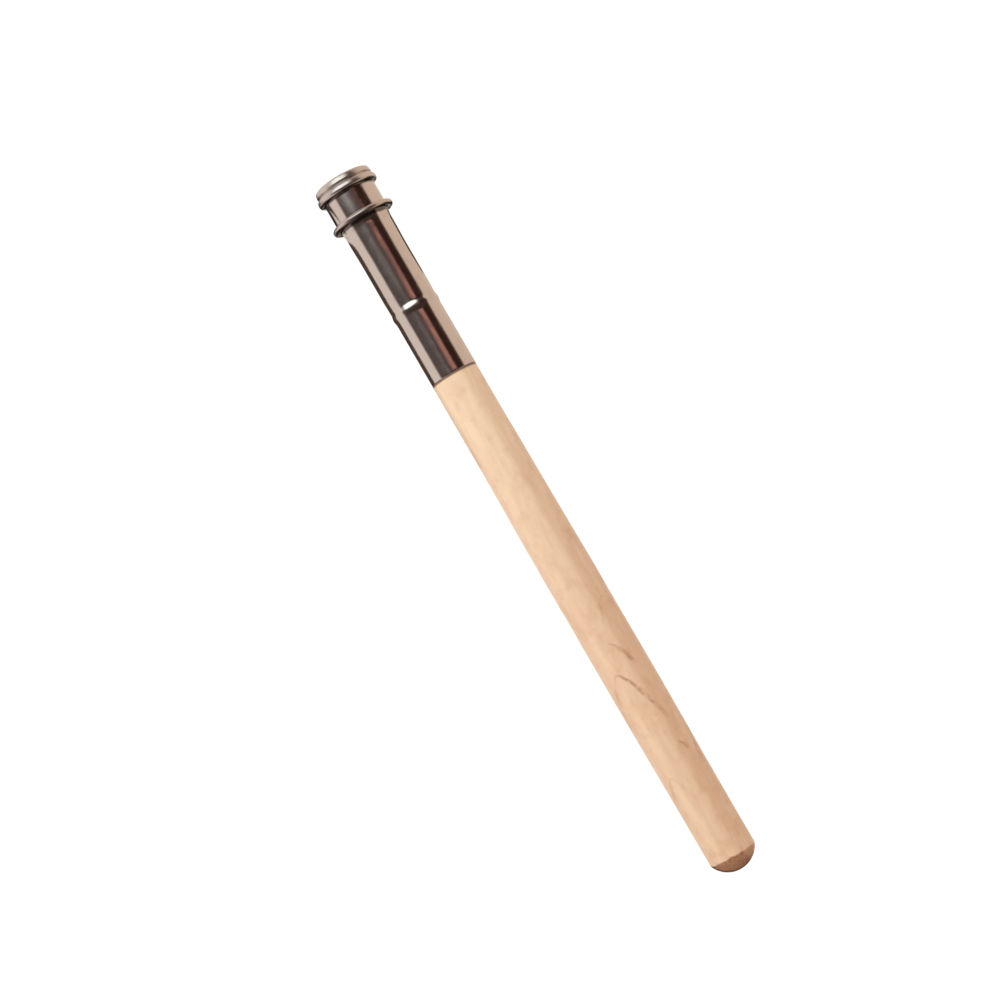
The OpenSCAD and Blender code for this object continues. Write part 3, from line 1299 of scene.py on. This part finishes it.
@dataclass
class Studio:
    """A pale floor, a pale backdrop all round, soft lamps, and cards that shape what the metal reflects.

    The room's ramps run over the X, Y or Z of a direction.
    """

    camera: CameraPlace = field(default_factory=CameraPlace)
    floor_size: float = 4.0
    floor_colour: Colour = (0.84, 0.84, 0.84)
    floor_shadow: float = 0.22
    floor_white: float = 0.92
    band_left: Colour = (0.93, 0.85, 0.83)
    band_right: Colour = (0.85, 0.70, 0.59)
    ceiling_left: Colour = (0.1, 0.078, 0.075)
    ceiling_right: Colour = (0.038, 0.014, 0.01)
    ceiling_glow: Colour = (0.2, 0.18, 0.195)
    behind_handle: Colour = (0.06, 0.042, 0.034)
    ceiling_lean: float = 0.03
    ceiling_edge: Ramp = (0.385, 0.465, 0.0, 1.0)
    left_side: Ramp = (-0.7, 0.5, 0.0, 1.0)
    glow_side: float = 0.28
    glow_reach: Ramp = (0.0, 0.3, 0.55, 0.0)
    clouds: Grain = (5.0, 3.0)
    cloud_strength: Ramp = (0.35, 0.65, 0.35, 1.0)
    behind_low: tuple[Ramp, Ramp] = ((-0.25, -0.05, 1.0, 0.0), (-0.4, -0.1, 1.0, 0.0))
    behind_high: tuple[Ramp, Ramp] = ((0.5, 0.7, 0.0, 1.0), (-0.25, 0.05, 1.0, 0.0))
    behind_straight: Ramp = (-0.97, -0.85, 1.0, 0.0)
    lamps: tuple[SoftLamp, ...] = (
        SoftLamp("top_softbox", (-0.1, -0.3, 0.69), (0.6, 0.6), 2.5, (1.0, 0.99, 0.97)),
        SoftLamp("left_softbox", (-0.1, 0.65, 0.375), (0.3, 0.3), 5.4, (1.0, 0.985, 0.96)),
        SoftLamp("mouth_softbox", (0.34, 0.13, 0.50), (0.7, 0.5), 2.0, (1.0, 0.985, 0.97)),
    )
    # The flags are dark cards on the floor that stand in for the floor's shade beside the extender: painted
    # shade in what the metal reflects
    cards: tuple[Card, ...] = (
        Card(
            "left_flag", (0.085, 0.062, 0.046), ON_THE_FLOOR,
            ((-30.0, 5.4), (12.4, 5.4), (12.4, 21.0), (-5.0, 18.5), (-30.0, 18.0)),
        ),
        Card(
            "left_rim_flag", (0.06, 0.045, 0.035), ON_THE_FLOOR,
            ((13.3, 5.4), (22.5, 5.4), (22.5, 40.0), (19.5, 40.0), (19.0, 12.5), (13.3, 12.5)),
        ),
        Card(
            "right_flag", (0.06, 0.042, 0.032), ON_THE_FLOOR,
            ((2.0, -5.4), (13.0, -5.4), (13.0, -10.0), (6.0, -10.0), (2.0, -8.0)),
        ),
        Card(
            "right_edge_flag", (0.3, 0.24, 0.19), ON_THE_FLOOR,
            ((-30.0, -5.4), (2.0, -5.4), (2.0, -6.4), (-30.0, -6.4)),
        ),
        Card(
            "warm_strip", (0.72, 0.36, 0.31), OVERHEAD,
            ((90.0, -255.0), (86.0, -190.0), (80.0, -160.0), (74.0, -135.0), (67.5, -65.0), (61.0, -60.0),
             (55.0, -85.0), (47.0, -55.0), (40.0, -20.0), (30.0, -10.0), (30.0, -170.0), (40.0, -185.0),
             (47.0, -205.0), (55.0, -210.0), (61.0, -200.0), (67.5, -180.0), (74.0, -200.0), (80.0, -220.0),
             (87.0, -245.0)),
        ),
        Card(
            "window", (1.85, 2.0, 2.1), OVERHEAD,
            ((300.0, -200.0), (240.0, -155.0), (190.0, -95.0), (150.0, -15.0), (131.0, 85.0), (131.0, 150.0),
             (150.0, 260.0), (190.0, 355.0), (240.0, 440.0), (300.0, 515.0), (400.0, 460.0), (400.0, -150.0)),
        ),
    )

    def __post_init__(self) -> None:
        """Works out how high and how steep the floor is, as the ring and the handle's end rest on it."""
        ring_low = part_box(Part.SLIDE_RING.value)[0].z
        ring_place = middle_of(Part.SLIDE_RING) * MM
        end_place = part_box(Part.HANDLE.value)[0].x + Handle.crease_from_end * MM
        self.floor_slope = (-Handle.crease_radius * MM - ring_low) / (end_place - ring_place)
        self.floor_height = ring_low - self.floor_slope * ring_place

    def build_camera(self) -> None:
        """Makes the camera at the photograph's viewing angle."""
        place = Vector(self.camera.place) * MM
        ahead = (Vector(self.camera.aim) * MM - place).normalized()
        roll = math.radians(self.camera.roll_deg)
        right = ahead.cross(Vector((math.cos(roll), -math.sin(roll), 0))).normalized()
        above = right.cross(ahead)
        data = bpy.data.cameras.new("camera")
        data.lens = self.camera.lens
        data.clip_start = self.camera.clip_start
        camera = bpy.data.objects.new("camera", data)
        turned = Matrix((right, above, -ahead)).transposed()
        camera.matrix_world = Matrix.Translation(place) @ turned.to_4x4()
        bpy.context.scene.collection.objects.link(camera)
        bpy.context.scene.camera = camera

    def room_colour(self, sheet: Sheet) -> Socket:
        """Colours the room: a pale backdrop up to some height, a dim ceiling, and dark behind the handle.

        Args:
            sheet: The world's tree.

        Returns:
            The colour in each direction.
        """
        direction = sheet.add("TexCoord").outputs["Generated"]
        split = sheet.add("SeparateXYZ", {0: direction}).outputs
        height = sheet.less(split["Z"], sheet.times(split["Y"], self.ceiling_lean))
        side = sheet.spread(split["Y"], self.left_side)
        beside = sheet.math("ABSOLUTE", sheet.less(split["Y"], self.glow_side))
        clouds = sheet.spread(sheet.noise(direction, *self.clouds), self.cloud_strength)
        glow = sheet.times(sheet.spread(beside, self.glow_reach), clouds)
        dim = sheet.blend(side, self.ceiling_right, self.ceiling_left)
        dim = sheet.blend(glow, dim, self.ceiling_glow)
        pale = sheet.blend(side, self.band_right, self.band_left)
        room = sheet.blend(sheet.spread(height, self.ceiling_edge), pale, dim)
        behind = sheet.spread(split["X"], self.behind_straight)
        for over_height, over_length in (self.behind_low, self.behind_high):
            region = sheet.times(sheet.spread(split["Z"], over_height), sheet.spread(split["X"], over_length))
            behind = sheet.math("MAXIMUM", behind, region)
        return sheet.blend(behind, room, self.behind_handle)

    def build_world(self) -> None:
        """Makes the room, which the camera sees as plain white."""
        world = bpy.data.worlds.new("studio")
        world.use_nodes = True
        bpy.context.scene.world = world
        sheet = Sheet(world.node_tree)
        lit = sheet.add("Background", {"Color": self.room_colour(sheet)}).outputs[0]
        white = sheet.add("Background", {"Color": (1, 1, 1)}).outputs[0]
        seen = sheet.add("LightPath").outputs["Is Camera Ray"]
        sheet.finish(sheet.add("MixShader", {0: seen, 1: lit, 2: white}), "OutputWorld")

    def build_floor(self) -> None:
        """Makes the floor, white to the camera less its shadow. Metal looks through it to the backdrop."""
        deselect_all()
        bpy.ops.mesh.primitive_plane_add(size=self.floor_size, location=(0, 0, self.floor_height))
        floor = bpy.context.object
        floor.name = "floor"
        floor.rotation_euler = (0, -math.atan(self.floor_slope), 0)
        material, sheet = new_material("floor_paint")
        path = sheet.add("LightPath").outputs
        seen = sheet.math("MAXIMUM", path["Is Camera Ray"], path["Is Transmission Ray"])
        shaded = tuple(level * self.floor_shadow for level in self.floor_colour)
        colour = sheet.blend(seen, self.floor_colour, shaded)
        paint = sheet.add("BsdfDiffuse", {"Color": colour}).outputs[0]
        lift = sheet.add("Emission", {"Strength": sheet.times(seen, self.floor_white)}).outputs[0]
        both = sheet.add("AddShader", {0: paint, 1: lift}).outputs[0]
        clear = sheet.add("BsdfTransparent").outputs[0]
        sheet.finish(sheet.add("MixShader", {0: path["Is Glossy Ray"], 1: both, 2: clear}))
        floor.data.materials.append(material)

    def build_lamps(self) -> None:
        """Hangs the soft lamps, each turned towards the extender."""
        for lamp in self.lamps:
            data = bpy.data.lights.new(lamp.name, "AREA")
            data.shape = "RECTANGLE"
            data.size, data.size_y = lamp.size
            data.color = lamp.colour
            data.energy = lamp.radiance * math.pi * data.size * data.size_y
            light = bpy.data.objects.new(lamp.name, data)
            light.location = lamp.place
            light.rotation_euler = Vector(lamp.place).to_track_quat("Z", "Y").to_euler()
            light.visible_glossy = False
            bpy.context.scene.collection.objects.link(light)

    def build_cards(self) -> None:
        """Sets the cards at their heights over the sloping floor."""
        for card in self.cards:
            corners = [Vector((*corner, card.height)) * MM for corner in card.corners]
            for corner in corners:
                corner.z += self.floor_height + self.floor_slope * corner.x
            mesh = bpy.data.meshes.new(card.name)
            mesh.from_pydata(corners, [], [range(len(corners))])
            piece = bpy.data.objects.new(card.name, mesh)
            material, sheet = new_material(card.name)
            sheet.finish(sheet.add("Emission", {"Color": card.colour}))
            mesh.materials.append(material)
            piece.visible_camera = piece.visible_diffuse = piece.visible_shadow = False
            piece.visible_transmission = piece.visible_volume_scatter = False
            bpy.context.scene.collection.objects.link(piece)

    def build(self) -> None:
        """Sets up the whole studio."""
        bpy.context.scene.view_settings.view_transform = "Standard"
        self.build_camera()
        self.build_world()
        self.build_floor()
        self.build_lamps()
        self.build_cards()


def main() -> None:
    """Sets up the studio, then builds and dresses the pieces."""
    logging.basicConfig(level=logging.INFO, format="%(message)s")
    Studio().build()
    effects = Effects()
    tube_finish = NickelFinish(
        Slot.NICKEL_TUBE, bright=(0.64, 0.565, 0.505), bloom=(0.57, 0.49, 0.43), roughness=0.17,
        marks=Streaks(0.12, 9.0, 3.0), wave_height=0.012, rim_wear=0.14,
    )
    ring_finish = NickelFinish(
        Slot.NICKEL_RING, bright=(0.62, 0.54, 0.485), bloom=(0.52, 0.44, 0.385), roughness=0.3,
        marks=Streaks(0.09, 9.0, 3.0), wave_height=0.004,
    )
    Handle(WoodFinish()).build(effects)
    Tube(tube_finish).build(effects)
    SlideRing(ring_finish).build(effects)


if __name__ == "__main__":
    main()
